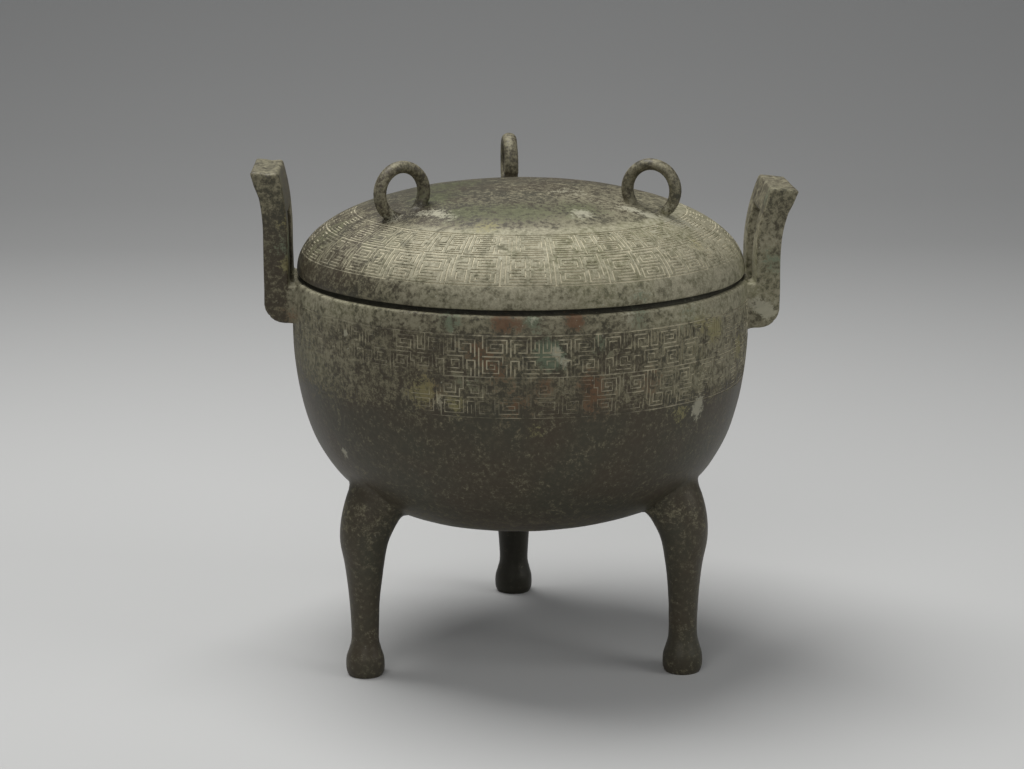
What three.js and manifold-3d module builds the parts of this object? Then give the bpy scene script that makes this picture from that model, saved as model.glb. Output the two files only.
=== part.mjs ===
// A lidded bronze ding: a round bowl on three hoof-footed legs, with two upright ears at its
// sides, and a low domed lid that carries three loop rings. Millimetres, +Z up. The origin is
// on the floor, on the bowl's axis. The ears stand along X, and the single leg at the back
// stands along +Y.
import * as THREE from "three";
import { mergeVertices } from "three/addons/utils/BufferGeometryUtils.js";
import Module from "manifold-3d";

const wasm = await Module();
wasm.setup();

// Driving dimensions.
const ROUND_SEGMENTS = 54;

const RIM_HEIGHT = 204;
const BOWL = {
  radius: 120, // at its widest ring
  widestBelowRim: 18,
  depthBelowWidest: 109.4,
  radialPower: 3.72, // how flat the bottom is
  heightPower: 2.45, // how full the side is
  wall: 3.4,
  rimRadius: 119.2,
  rimChamfer: 1.8,
};
const INNER_LIP = { outerRadius: 114.2, innerRadius: 111.4, height: 8, slope: 7 };

const LEG = {
  circleRadius: 96.2,
  sides: 16,
  rings: 15,
  angles: [90, 210, 330],
};
// Leg sections from the sole up: height, shift towards the axis, half size along the radius,
// half size across.
const LEG_SECTIONS = [
  [0, 0, 9.0, 9.4],
  [3, 0, 10.0, 10.5],
  [9, 0, 10.0, 10.5],
  [14, 0, 8.5, 9.2],
  [20, 0, 7.2, 8.0],
  [34, 0, 7.2, 8.6],
  [47, 0, 8.1, 10.0],
  [60, 0, 9.6, 12.0],
  [73, 0.3, 12.2, 13.9],
  [85, 4.2, 15.4, 15.0],
  [98, 8.6, 15.6, 15.2],
  [108, 12.6, 13.4, 13.0],
];

const EAR = {
  width: 54,
  thickness: 12.8,
  innerX: 120.7,
  bottom: -23.2, // all heights of an ear are measured from the rim
  bottomRise: 1.6,
  cornerRadius: 9,
  rootX: 112,
  rootTop: -1.5,
  headHeight: 8,
  headLip: 0.9,
  headRise: 2.4, // how much further the head's outer edge reaches than a square end
  openingWidth: 24,
  openingBottom: -8,
  openingTop: 34.5,
};
// The two ears were bent outwards by different amounts, so each has its own bend.
const EAR_BENDS = [
  { side: 1, start: 10, radius: 98, angle: 23 },
  { side: -1, start: 24, radius: 95, angle: 19 },
];

const LID = {
  seamGap: 2.2,
  radius: 117.4,
  height: 44.8,
  radialPower: 2.2,
  heightPower: 2.1,
  wall: 3.4,
  edgeWall: 2.7,
  edgeRounding: 1.4,
  innerRadius: 112.3,
  turn: 2.6, // degrees, about the axis
};
const RING = {
  circleRadius: 73.6,
  topAboveRim: 65,
  outerRadius: 16.2,
  barAlong: 7,
  barAcross: 8.6,
  angles: [90, 210, 330],
};

// The two bands of line ornament are bordered and halved by fine grooves. Each list runs upwards.
const GROOVE = { width: 1.1, depth: 0.45 };
const BOWL_GROOVE_HEIGHTS = [-50.5, -30, -9.5]; // from the rim
const LID_GROOVE_RADII = [111, 98.8, 84];

// The small gap that touching pieces keep.
const FIT_GAP = 0.3;

const lidEdgeHeight = RIM_HEIGHT + LID.seamGap;
const lipTop = RIM_HEIGHT + INNER_LIP.height;

// A closed mesh as a solid that can be joined and cut.
function solidOf(geometry) {
  const bare = geometry.clone();
  bare.deleteAttribute("normal");
  bare.deleteAttribute("uv");
  const merged = mergeVertices(bare, 1e-4);
  const mesh = new wasm.Mesh({
    numProp: 3,
    vertProperties: new Float32Array(merged.attributes.position.array),
    triVerts: new Uint32Array(merged.index.array),
  });
  return new wasm.Manifold(mesh);
}

function geometryOf(solid) {
  const mesh = solid.getMesh();
  const geometry = new THREE.BufferGeometry();
  geometry.setAttribute("position", new THREE.BufferAttribute(mesh.vertProperties, 3));
  geometry.setIndex(new THREE.BufferAttribute(mesh.triVerts, 1));
  geometry.computeVertexNormals();
  return geometry;
}

// Turns a profile of [radius, height] points about +Z. It runs from the axis at the bottom to
// the axis at the top.
function turned(profile) {
  const points = profile.map(([radius, height]) => new THREE.Vector2(radius, height));
  return solidOf(new THREE.LatheGeometry(points, ROUND_SEGMENTS).rotateX(Math.PI / 2));
}

// A quarter of a superellipse as [radius, rise] points, from its pole on the axis to its widest ring.
function quarterDome({ radius, height, radialPower, heightPower }, steps) {
  return Array.from({ length: steps + 1 }, (_, i) => {
    const angle = (Math.PI / 2) * (i / steps);
    const along = i === 0 ? 0 : Math.sin(angle) ** (2 / radialPower);
    const up = i === steps ? 0 : Math.cos(angle) ** (2 / heightPower);
    return [radius * along, height * up];
  });
}

// Cuts a V groove into an upward profile at each centre, which is a value of one coordinate:
// 0 is radius, 1 is height.
function withGrooves(profile, coordinate, centres) {
  const grooved = [...profile];
  for (const centre of centres) {
    const next = grooved.findIndex((point, i) => {
      return i > 0 && (grooved[i - 1][coordinate] - centre) * (point[coordinate] - centre) <= 0;
    });
    const from = grooved[next - 1];
    const to = grooved[next];
    const length = Math.hypot(to[0] - from[0], to[1] - from[1]);
    const along = [(to[0] - from[0]) / length, (to[1] - from[1]) / length];
    const share = (centre - from[coordinate]) / (to[coordinate] - from[coordinate]);
    // A point of the groove, this far along the profile from its centre and this deep in the wall.
    const point = (step, depth) => [
      from[0] + share * length * along[0] + step * along[0] - depth * along[1],
      from[1] + share * length * along[1] + step * along[1] + depth * along[0],
    ];
    const half = GROOVE.width / 2;
    grooved.splice(next, 0, point(-half, 0), point(0, GROOVE.depth), point(half, 0));
  }
  return grooved;
}

function bowlOutside() {
  const { radius, rimRadius, rimChamfer } = BOWL;
  const widest = RIM_HEIGHT - BOWL.widestBelowRim;
  const below = quarterDome({ ...BOWL, height: BOWL.depthBelowWidest }, 11);
  const side = below.map(([r, drop]) => [r, widest - drop]);
  const outside = withGrooves(
    [...side, [rimRadius, RIM_HEIGHT - rimChamfer]],
    1,
    BOWL_GROOVE_HEIGHTS.map((height) => RIM_HEIGHT + height),
  );
  return turned([
    ...outside,
    [rimRadius - rimChamfer * 0.7, RIM_HEIGHT],
    [INNER_LIP.outerRadius, RIM_HEIGHT],
    [INNER_LIP.outerRadius, lipTop],
    [0, lipTop],
  ]);
}

function bowlHollow() {
  const widest = RIM_HEIGHT - BOWL.widestBelowRim;
  const inside = {
    ...BOWL,
    radius: BOWL.radius - BOWL.wall,
    height: BOWL.depthBelowWidest - BOWL.wall,
  };
  const side = quarterDome(inside, 8).map(([r, drop]) => [r, widest - drop]);
  return turned([
    ...side,
    [inside.radius - 0.3, RIM_HEIGHT - INNER_LIP.slope - 5],
    [INNER_LIP.innerRadius, RIM_HEIGHT - INNER_LIP.slope + 1],
    [INNER_LIP.innerRadius, lipTop + 5],
    [0, lipTop + 5],
  ]);
}

// One leg: a cylinder whose rings take the height, place and oval of the leg's sections.
function leg(angle) {
  const columns = [1, 2, 3].map((column) => {
    return new THREE.SplineCurve(LEG_SECTIONS.map((row) => new THREE.Vector2(row[0], row[column])));
  });
  const geometry = new THREE.CylinderGeometry(1, 1, 1, LEG.sides, LEG.rings);
  geometry.rotateX(Math.PI / 2);
  const position = geometry.attributes.position;
  for (let i = 0; i < position.count; i++) {
    const share = position.getZ(i) + 0.5;
    const [shift, halfAlong, halfAcross] = columns.map((curve) => curve.getPoint(share).y);
    const height = columns[0].getPoint(share).x;
    const x = LEG.circleRadius - shift + position.getX(i) * halfAlong;
    position.setXYZ(i, x, position.getY(i) * halfAcross, height);
  }
  return solidOf(geometry.rotateZ(THREE.MathUtils.degToRad(angle)));
}

// The side view of an ear, x outwards and y up from the rim: a foot with a rounded corner, a
// straight stretch, a bend outwards, and a head that stands a little proud.
function earOutline({ start, radius, angle }) {
  const outerX = EAR.innerX + EAR.thickness;
  const bend = THREE.MathUtils.degToRad(angle);
  const centreX = EAR.innerX + radius;
  const on = (from, turn) => {
    return new THREE.Vector2(centreX - from * Math.cos(turn), start + from * Math.sin(turn));
  };
  const headTurn = bend - EAR.headHeight / radius;
  const outerArc = radius - EAR.thickness;
  const shape = new THREE.Shape();
  shape.moveTo(EAR.rootX, EAR.bottom);
  const cornerY = EAR.bottom + EAR.bottomRise;
  shape.lineTo(outerX - EAR.cornerRadius, cornerY);
  shape.quadraticCurveTo(outerX, cornerY, outerX, cornerY + EAR.cornerRadius);
  for (const share of [0, 0.33, 0.67, 1]) {
    const point = on(outerArc, headTurn * share);
    shape.lineTo(point.x, point.y);
  }
  for (const turn of [headTurn + 0.012, bend + EAR.headRise / outerArc]) {
    const point = on(outerArc - EAR.headLip, turn);
    shape.lineTo(point.x, point.y);
  }
  for (const share of [1, 0.75, 0.5, 0.25, 0]) {
    const point = on(radius, bend * share);
    shape.lineTo(point.x, point.y);
  }
  shape.lineTo(EAR.innerX, EAR.rootTop);
  shape.lineTo(EAR.rootX, EAR.rootTop);
  return shape;
}

// One upright ear: its side view drawn out across the ear's width, with the opening cut through it.
function ear(bend) {
  const plate = new THREE.ExtrudeGeometry(earOutline(bend), {
    depth: EAR.width,
    bevelEnabled: false,
    curveSegments: 5,
  });
  plate.translate(0, 0, -EAR.width / 2).rotateX(Math.PI / 2);
  const openingHeight = EAR.openingTop - EAR.openingBottom;
  const opening = new THREE.BoxGeometry(80, EAR.openingWidth, openingHeight);
  opening.translate(EAR.innerX + 20, 0, EAR.openingBottom + openingHeight / 2);
  const turn = bend.side > 0 ? 0 : Math.PI;
  for (const geometry of [plate, opening]) geometry.translate(0, 0, RIM_HEIGHT).rotateZ(turn);
  return solidOf(plate).subtract(solidOf(opening));
}

function vessel() {
  let solid = bowlOutside();
  for (const angle of LEG.angles) solid = solid.add(leg(angle));
  for (const bend of EAR_BENDS) solid = solid.add(ear(bend));
  return solid.subtract(bowlHollow());
}

// One loop ring, standing on the lid in a plane through the axis.
function ring(angle) {
  const barRadius = RING.barAlong / 2;
  const loop = new THREE.TorusGeometry(RING.outerRadius - barRadius, barRadius, 8, 20);
  loop.rotateX(Math.PI / 2).scale(1, RING.barAcross / RING.barAlong, 1);
  const centreHeight = RIM_HEIGHT + RING.topAboveRim - RING.outerRadius;
  loop.translate(RING.circleRadius, 0, centreHeight);
  return solidOf(loop.rotateZ(THREE.MathUtils.degToRad(angle)));
}

function lidOutside() {
  const foot = lidEdgeHeight + LID.edgeRounding;
  const dome = quarterDome({ ...LID, height: LID.height - LID.edgeRounding }, 11);
  const side = dome.map(([r, rise]) => [r, foot + rise]).reverse();
  return turned([
    [0, lidEdgeHeight],
    [LID.radius - LID.edgeRounding, lidEdgeHeight],
    ...withGrooves(side, 0, LID_GROOVE_RADII),
  ]);
}

function lidHollow() {
  const restHeight = lipTop + FIT_GAP;
  const skirtRadius = LID.radius - LID.edgeWall;
  const inside = {
    ...LID,
    radius: LID.innerRadius,
    height: RIM_HEIGHT + LID.seamGap + LID.height - LID.wall - restHeight,
  };
  const dome = quarterDome(inside, 7).map(([r, rise]) => [r, restHeight + rise]);
  const below = lidEdgeHeight - 5;
  return turned([[0, below], [skirtRadius, below], [skirtRadius, restHeight], ...dome.reverse()]);
}

function lid() {
  let solid = lidOutside();
  for (const angle of RING.angles) solid = solid.add(ring(angle));
  return solid.subtract(lidHollow());
}

function piece(name, solid, colour, roughness) {
  const material = new THREE.MeshStandardMaterial({ color: colour, roughness, metalness: 0.7 });
  const mesh = new THREE.Mesh(geometryOf(solid), material);
  mesh.name = name;
  return mesh;
}

const ding = new THREE.Group();
ding.add(piece("vessel", vessel(), 0x4a4636, 0.55));

const lidPiece = piece("lid", lid(), 0x5f5e4a, 0.6);
lidPiece.rotation.z = THREE.MathUtils.degToRad(LID.turn);
ding.add(lidPiece);

export default ding;
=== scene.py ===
# %% [markdown]
# # A lidded bronze ding
# A ding is a cooking vessel on three legs. This one is a deep round bowl with two upright ears
# and a low domed lid with three loop rings, all cast in bronze. It was made as two castings, so
# it is built here as two closed meshes, each with its ornament cut into it.
# Everything is drawn in millimetres, as on a workshop drawing, and a mesh is scaled to metres
# when it is finished. +Z is up, the ears stand along X, and the front looks along -Y.

# %% The frame
import math

import bmesh
import bpy
from mathutils import Matrix, Vector, kdtree, noise


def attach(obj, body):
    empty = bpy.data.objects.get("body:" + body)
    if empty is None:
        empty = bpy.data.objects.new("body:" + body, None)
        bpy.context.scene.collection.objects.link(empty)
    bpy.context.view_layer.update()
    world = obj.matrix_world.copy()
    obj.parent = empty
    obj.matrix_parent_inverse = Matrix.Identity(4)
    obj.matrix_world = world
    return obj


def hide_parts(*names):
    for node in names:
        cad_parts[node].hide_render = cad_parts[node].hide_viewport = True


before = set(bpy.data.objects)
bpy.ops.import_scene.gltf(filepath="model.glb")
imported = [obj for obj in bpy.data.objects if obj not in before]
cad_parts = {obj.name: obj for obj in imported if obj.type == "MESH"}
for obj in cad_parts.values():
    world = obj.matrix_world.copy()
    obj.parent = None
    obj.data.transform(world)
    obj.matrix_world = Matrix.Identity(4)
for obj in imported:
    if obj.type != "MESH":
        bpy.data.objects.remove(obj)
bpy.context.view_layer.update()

MM = 0.001
print("frame nodes:", sorted(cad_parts))

# %% [markdown]
# ## Camera, floor and light
# The vessel is seen from a little above its rim, through a long lens from more than a metre
# away, so its verticals stay nearly parallel. One soft lamp overhead, a little behind and to the
# left, does most of the work, and two weaker ones fill the front, as in a museum's studio. A
# curved backdrop without a horizon lets the tone fall off smoothly behind the bronze.

# %% Camera
camera = bpy.data.objects.new("camera", bpy.data.cameras.new("camera"))
bpy.context.collection.objects.link(camera)
camera.location = (-0.0554, -1.3226, 0.4422)
camera.rotation_euler = (math.radians(77.296), 0, math.radians(-2.198))
camera.data.sensor_width = 36
camera.data.lens = 89.65
bpy.context.scene.camera = camera
bpy.context.scene.view_settings.view_transform = "Standard"
print("camera at", tuple(round(c, 3) for c in camera.location))

# %% Floor and backdrop
FLOOR_FRONT = -2.2
SWEEP_START = 1.3
SWEEP_RADIUS = 1.7
BACKDROP_TOP = 3.2


def backdrop():
    """A strip of floor that sweeps up into a wall, drawn out sideways."""
    bm = bmesh.new()
    edge = [bm.verts.new((-3.5, FLOOR_FRONT, 0))]
    for step in range(13):
        turn = math.radians(90 * step / 12)
        y = SWEEP_START + SWEEP_RADIUS * math.sin(turn)
        z = SWEEP_RADIUS * (1 - math.cos(turn))
        edge.append(bm.verts.new((-3.5, y, z)))
    edge.append(bm.verts.new((-3.5, SWEEP_START + SWEEP_RADIUS, BACKDROP_TOP)))
    edges = [bm.edges.new(pair) for pair in zip(edge, edge[1:])]
    swept = bmesh.ops.extrude_edge_only(bm, edges=edges)["geom"]
    moved = [v for v in swept if isinstance(v, bmesh.types.BMVert)]
    bmesh.ops.translate(bm, verts=moved, vec=(7, 0, 0))
    bmesh.ops.recalc_face_normals(bm, faces=bm.faces)
    for face in bm.faces:
        face.smooth = True
    mesh = bpy.data.meshes.new("backdrop")
    bm.to_mesh(mesh)
    bm.free()
    obj = bpy.data.objects.new("backdrop", mesh)
    bpy.context.collection.objects.link(obj)
    return obj


stage = backdrop()
paper = bpy.data.materials.new("studio_paper")
paper.use_nodes = True
paper.node_tree.nodes["Principled BSDF"].inputs["Base Color"].default_value = (0.43, 0.43, 0.42, 1)
paper.node_tree.nodes["Principled BSDF"].inputs["Roughness"].default_value = 0.85
stage.data.materials.append(paper)


# %% Lamps
def soft_lamp(name, place, size, power, colour=(1, 1, 1), aim=(0, 0, 0.15)):
    """A square soft box that faces a point."""
    lamp = bpy.data.lights.new(name, "AREA")
    lamp.size = size
    lamp.energy = power
    lamp.color = colour
    obj = bpy.data.objects.new(name, lamp)
    obj.location = place
    obj.rotation_euler = (Vector(aim) - Vector(place)).to_track_quat("-Z", "Y").to_euler()
    bpy.context.collection.objects.link(obj)
    return obj


soft_lamp("key_lamp", (-0.30, 0.22, 1.45), 0.9, 24)
soft_lamp("front_lamp", (-0.5, -1.7, 1.3), 1.2, 13)
soft_lamp("side_lamp", (1.3, -0.6, 0.9), 0.8, 7)
world = bpy.data.worlds.new("studio")
world.use_nodes = True
world.node_tree.nodes["Background"].inputs["Color"].default_value = (0.9, 0.93, 1.0, 1)
world.node_tree.nodes["Background"].inputs["Strength"].default_value = 0.16
bpy.context.scene.world = world

# %% [markdown]
# ## Rings of metal
# Bowl and lid are round, so each is grown as a stack of rings. It could be one spin of a
# profile, but the bands of ornament need hundreds of columns and the plain bottom needs few.
# So a ring of edges is extruded to the next radius and height, and where less detail is needed
# every second corner is welded to its neighbour, which halves the columns.


# %% Growing rings
def ring_edges(verts):
    """The edges that join a ring's own vertices."""
    members = set(verts)
    found = {e for v in members for e in v.link_edges if e.other_vert(v) in members}
    return list(found)


def next_ring(bm, edges, radius, height, halve=False):
    """Extrudes a ring of edges and lays the new ring at this radius and height."""
    made = bmesh.ops.extrude_edge_only(bm, edges=edges)["geom"]
    verts = [v for v in made if isinstance(v, bmesh.types.BMVert)]
    verts.sort(key=lambda v: math.atan2(v.co.y, v.co.x))
    for v in verts:
        angle = math.atan2(v.co.y, v.co.x)
        v.co = (radius * math.cos(angle), radius * math.sin(angle), height)
    if halve:
        bmesh.ops.weld_verts(bm, targetmap=dict(zip(verts[1::2], verts[::2])))
        verts = verts[::2]
    return ring_edges(verts)


def close_pole(bm, edges, height):
    """Draws a last ring together on the axis."""
    verts = list({v for e in edges for v in e.verts})
    bmesh.ops.pointmerge(bm, verts=verts, merge_co=(0, 0, height))


def boundary_ring(bm, highest):
    """The open edges at the top or the bottom of a band."""
    edges = [e for e in bm.edges if e.is_boundary]
    middle = sum(e.verts[0].co.z for e in edges) / len(edges)
    return [e for e in edges if (e.verts[0].co.z > middle) == highest]


def superellipse(radius, height, radial_power, height_power, turn):
    """A point of a quarter dome: turn 0 is the pole on the axis, 90 degrees the widest ring."""
    return (
        radius * math.sin(turn) ** (2 / radial_power),
        height * max(0.0, math.cos(turn)) ** (2 / height_power),
    )


print("ring tools ready")

# %% [markdown]
# ## The meander
# Both bands carry hooked and squared spirals, cut as thin lines. On the real thing they were
# pressed or cut into the mould. Here a band is a net of cells in which narrow cells, as wide as
# a line, take turns with wide ones. A motif is drawn on the crossings of the net, the cells it
# passes are inset and sunk, and so every line has a floor and two sloping walls.


# %% Drawing on a net
def square_spiral(left, bottom, right, top, opens="left", rises=True):
    """Corners of a square spiral that winds inwards, one net line apart from itself.

    It starts at the left or right side, and goes up or down first.
    """
    start, far = (left, right) if opens == "left" else (right, left)
    low, high = (bottom, top) if rises else (top, bottom)
    inward = 1 if far > start else -1
    up = 1 if high > low else -1
    points = [(start, low), (start, high), (far, high)]
    while abs(far - start) > 1 and abs(high - low) > 0:
        points.append((far, low))
        start += inward
        points.append((start, low))
        high -= up
        if (high - low) * up <= 0:
            break
        points.append((start, high))
        far -= inward
        if (far - start) * inward <= 0:
            break
        points.append((far, high))
        low += up
        if (high - low) * up <= 0:
            break
    return points


def stroke_cells(points):
    """Cells passed by straight runs between crossings. Even cell numbers are lines."""
    cells = set()
    for (x0, y0), (x1, y1) in zip(points, points[1:]):
        steps = 2 * max(abs(x1 - x0), abs(y1 - y0))
        for step in range(steps + 1):
            share = step / steps if steps else 0
            cells.add((round(2 * (x0 + (x1 - x0) * share)), round(2 * (y0 + (y1 - y0) * share))))
    return cells


def tiled_cells(tiles, width, height, repeats, rows, shift=0):
    """Tiles laid round the band by turns, some mirrored, every second row upside down."""
    cells = set()
    for row in range(rows):
        for repeat in range(repeats):
            tile = tiles[(repeat + repeat // 3 + row) % len(tiles)]
            mirrored = (repeat // 2 + row) % 2
            for stroke in tile:
                points = []
                for x, y in stroke:
                    x = width - 1 - x if mirrored else x
                    y = height - y if row % 2 else y
                    points.append((x + repeat * width + row * shift, y + row * height))
                cells |= stroke_cells(points)
    return cells


# %% [markdown]
# ## The net
# A flat grid is numbered, its motif cells are marked, and then it is wrapped round the vessel by
# moving each vertex to its place. Its seam is welded before the marked cells are inset, so no
# line is broken there.


# %% Wrapping a band
LINE_WIDTH = 0.75
LINE_WALL = 0.14
BOWL_LINE_DEPTH = 0.5
LID_LINE_DEPTH = 0.35


def wrapped_band(columns, lines, cells, place, line_share):
    """A band of a net, closed round the axis, with its motif cells inset but not yet sunk.

    columns and lines count the net's lines round and up, place(angle, line) gives a point, and
    line_share is half a line's width as a share of the pitch, round and up.
    """
    across, up = 2 * columns, 2 * lines + 1
    bm = bmesh.new()
    bmesh.ops.create_grid(bm, x_segments=across, y_segments=up, size=0.5)
    mark = bm.faces.layers.int.new("stroke")
    for face in bm.faces:
        middle = face.calc_center_median()
        column = int((middle.x + 0.5) * across) % across
        row = int((middle.y + 0.5) * up) - 1
        face[mark] = (column, row) in cells
    pitch = math.tau / columns
    for v in bm.verts:
        column = round((v.co.x + 0.5) * across)
        row = round((v.co.y + 0.5) * up)
        angle = pitch * (column // 2 + (line_share[0] if column % 2 else -line_share[0]))
        if row == 0:
            line = -0.5
        elif row == up:
            line = lines - 0.5
        else:
            line = (row - 1) // 2 + (line_share[1] if (row - 1) % 2 else -line_share[1])
        v.co = place(angle, line)
    bmesh.ops.remove_doubles(bm, verts=bm.verts, dist=1e-3)
    bmesh.ops.recalc_face_normals(bm, faces=bm.faces)
    marked = [f for f in bm.faces if f[mark]]
    walls = bmesh.ops.inset_region(
        bm, faces=marked, thickness=LINE_WALL, use_even_offset=True
    )["faces"]
    for face in walls:
        face[mark] = 0
    print("band:", columns, "x", lines, "lines,", len(bm.faces), "faces")
    return bm


def sink_lines(bm, depth, wear):
    """Lowers the floors of the lines along the normal, less where the surface is worn."""
    mark = bm.faces.layers.int["stroke"]
    bm.normal_update()
    groove = bm.verts.layers.float.new("groove")
    floor = {v for f in bm.faces if f[mark] for v in f.verts}
    moves = [(v, v.normal, wear(v.co)) for v in floor]
    for v, normal, freshness in moves:
        v.co -= normal * depth * freshness
        v[groove] = freshness
    print("lines sunk:", len(floor), "corners")


def falloff(value, low, high):
    """0 below low, 1 above high, smooth between."""
    share = min(1.0, max(0.0, (value - low) / (high - low)))
    return share * share * (3 - 2 * share)


def azimuth(co):
    """Degrees round the vessel from its front, positive to the right."""
    return math.degrees(math.atan2(co.x, -co.y))


def away(co, angle):
    """Degrees round the vessel from a direction, 0 to 180 either way."""
    apart = abs(azimuth(co) - angle) % 360
    return min(apart, 360 - apart)


def rough(co, size, seed=0.0):
    """Smooth noise from -1 to 1 with features of about this size."""
    return noise.noise(Vector((co.x / size + seed, co.y / size - seed, co.z / size + 2 * seed)))


# %% [markdown]
# ## The bowl
# The bowl's side is a superellipse, fuller than a circle, on a flattened bottom. The band of
# ornament, with a plain strip above it, lies on its steepest part. Above the band come the rim
# and the inner lip that holds the lid, and inside them the wall, 3.4 mm thick.

# %% Bowl sizes
RIM = 204.0
BOWL = {
    "radius": 120.0,
    "widest": 186.0,
    "depth": 109.4,
    "radial_power": 3.72,
    "height_power": 2.45,
}
WALL = 3.4
RIM_RADIUS = 119.2
RIM_ROUNDING = 1.6
LIP = {"outer": 114.2, "inner": 111.4, "top": 212.0, "bottom": 198.0}
BAND_TOP = RIM - 9.5
BAND_HEIGHT = 41.0
BAND_COLUMNS = 384
TILE_WIDTH = 8
TILE_HEIGHT = 10
BAND_PITCH = BAND_HEIGHT / (2 * TILE_HEIGHT)
BAND_BOTTOM = BAND_TOP - BAND_HEIGHT


def bowl_side(height, inset=0.0):
    """The bowl's radius at a height, outside or this far inside the wall."""
    drop = (BOWL["widest"] - height) / (BOWL["depth"] - inset)
    radius = BOWL["radius"] - inset
    if drop <= 0:
        return radius - 0.8 * (drop * BOWL["depth"] / 16.2) ** 2
    return radius * max(0.0, 1 - drop ** BOWL["height_power"]) ** (1 / BOWL["radial_power"])


def bowl_point(turn, inset=0.0):
    """A ring's radius and height on the bowl's outside, or this far inside its wall."""
    radius, drop = superellipse(
        BOWL["radius"] - inset,
        BOWL["depth"] - inset,
        BOWL["radial_power"],
        BOWL["height_power"],
        turn,
    )
    return radius, BOWL["widest"] - drop


def bowl_turn(height):
    """The curve's parameter at a height on the outside."""
    share = (BOWL["widest"] - height) / BOWL["depth"]
    return math.acos(share ** (BOWL["height_power"] / 2))


def bowl_tiles():
    """Two motifs of the bowl's band: a pair of spirals with a stair, and linked hooks."""
    pair = [
        square_spiral(1, 6, 5, 9),
        square_spiral(2, 1, 7, 4, opens="right", rises=False),
        [(0, 10), (0, 3)],
        [(7, 10), (7, 7), (6, 7), (6, 5), (1, 5)],
        [(1, 3), (1, 0)],
    ]
    hooks = [
        [(0, 10), (0, 6), (2, 6), (2, 8)],
        [(1, 10), (1, 8)],
        [(3, 9), (7, 9)],
        [(3, 8), (3, 5), (7, 5)],
        [(7, 8), (4, 8), (4, 6), (6, 6), (6, 7)],
        [(0, 5), (0, 1), (4, 1), (4, 4), (2, 4)],
        [(1, 4), (1, 2), (3, 2)],
        [(5, 0), (5, 4), (7, 4), (7, 1)],
        [(6, 3), (6, 1)],
    ]
    return [pair, hooks]


def bowl_band():
    """The two rows of the bowl's ornament between three border lines."""
    cells = tiled_cells(bowl_tiles(), TILE_WIDTH, TILE_HEIGHT, BAND_COLUMNS // TILE_WIDTH, 2, 3)
    cells = {(x % (2 * BAND_COLUMNS), y) for x, y in cells}
    for border in (0, TILE_HEIGHT, 2 * TILE_HEIGHT):
        cells |= {(x, 2 * border) for x in range(2 * BAND_COLUMNS)}
    pitch_round = math.tau * BOWL["radius"] / BAND_COLUMNS
    share = (LINE_WIDTH / 2 / pitch_round, LINE_WIDTH / 2 / BAND_PITCH)

    def place(angle, line):
        height = BAND_BOTTOM + line * BAND_PITCH
        radius = bowl_side(height)
        return radius * math.cos(angle), radius * math.sin(angle), height

    return wrapped_band(BAND_COLUMNS, 2 * TILE_HEIGHT + 1, cells, place, share)


def bowl_wear(co):
    """How fresh the bowl's lines are: clear at the front right, faint at the left and below."""
    clear = 1 - falloff(away(co, 50), 50, 85)
    patch = 0.55 * math.exp(-((away(co, -24) / 9) ** 2) - ((co.z - 163) / 10) ** 2)
    low = 0.45 * falloff(BAND_TOP - 20 - co.z, -3, 3) * (0.5 + 0.5 * falloff(away(co, 55), 5, 35))
    patches = 0.30 * rough(co, 17, 3.1) + 0.25 * rough(co, 6, 7.7)
    return min(1.0, max(0.04, 0.38 + 0.5 * clear - low + patch + patches))


# %% Bowl
def grown_bowl():
    """The closed skin of the hollow bowl, grown from its band down, and up, over and inside."""
    bm = bowl_band()
    sink_lines(bm, BOWL_LINE_DEPTH, bowl_wear)
    edges, upper = boundary_ring(bm, False), boundary_ring(bm, True)
    # Down the outside to the pole.
    start = bowl_turn(BAND_BOTTOM - 0.5 * BAND_PITCH)
    steps = 40
    halvings = {1, 14, 25, 33, 37}
    for step in range(1, steps):
        radius, height = bowl_point(start * (1 - step / steps) ** 1.1)
        edges = next_ring(bm, edges, radius, height, step in halvings)
    close_pole(bm, edges, BOWL["widest"] - BOWL["depth"])
    # Up to the rim, over its rounded edge and the inner lip, and down the inside.
    edges = upper
    rim_low = RIM - RIM_ROUNDING
    for height in (197.5, 200.3, rim_low):
        edges = next_ring(bm, edges, bowl_side(height), height)
    for turn in (25, 50, 75, 90):
        tilt = math.radians(turn)
        radius = RIM_RADIUS - RIM_ROUNDING * (1 - math.cos(tilt))
        edges = next_ring(bm, edges, radius, rim_low + RIM_ROUNDING * math.sin(tilt), turn == 50)
    lip = [(LIP["outer"] + 0.6, RIM), (LIP["outer"], RIM + 0.6), (LIP["outer"], LIP["top"] - 0.5)]
    lip += [(LIP["outer"] - 0.5, LIP["top"]), (LIP["inner"] + 0.5, LIP["top"])]
    lip += [(LIP["inner"], LIP["top"] - 0.5), (LIP["inner"], LIP["bottom"] + 1)]
    lip += [(bowl_side(192, WALL) - 0.3, 192), (bowl_side(186, WALL), 186)]
    for index, (radius, height) in enumerate(lip):
        edges = next_ring(bm, edges, radius, height, index == 4)
    inner_steps = 24
    for step in range(1, inner_steps):
        radius, height = bowl_point(math.pi / 2 * (1 - step / inner_steps), WALL)
        edges = next_ring(bm, edges, radius, height, step in (14, 20))
    close_pole(bm, edges, BOWL["widest"] - BOWL["depth"] + WALL)
    bmesh.ops.recalc_face_normals(bm, faces=bm.faces)
    return bm


def turn_about_axis(bm, degrees):
    """Turns a mesh round the vessel's own axis."""
    matrix = Matrix.Rotation(math.radians(degrees), 3, "Z")
    bmesh.ops.rotate(bm, verts=bm.verts, cent=(0, 0, 0), matrix=matrix)


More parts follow.
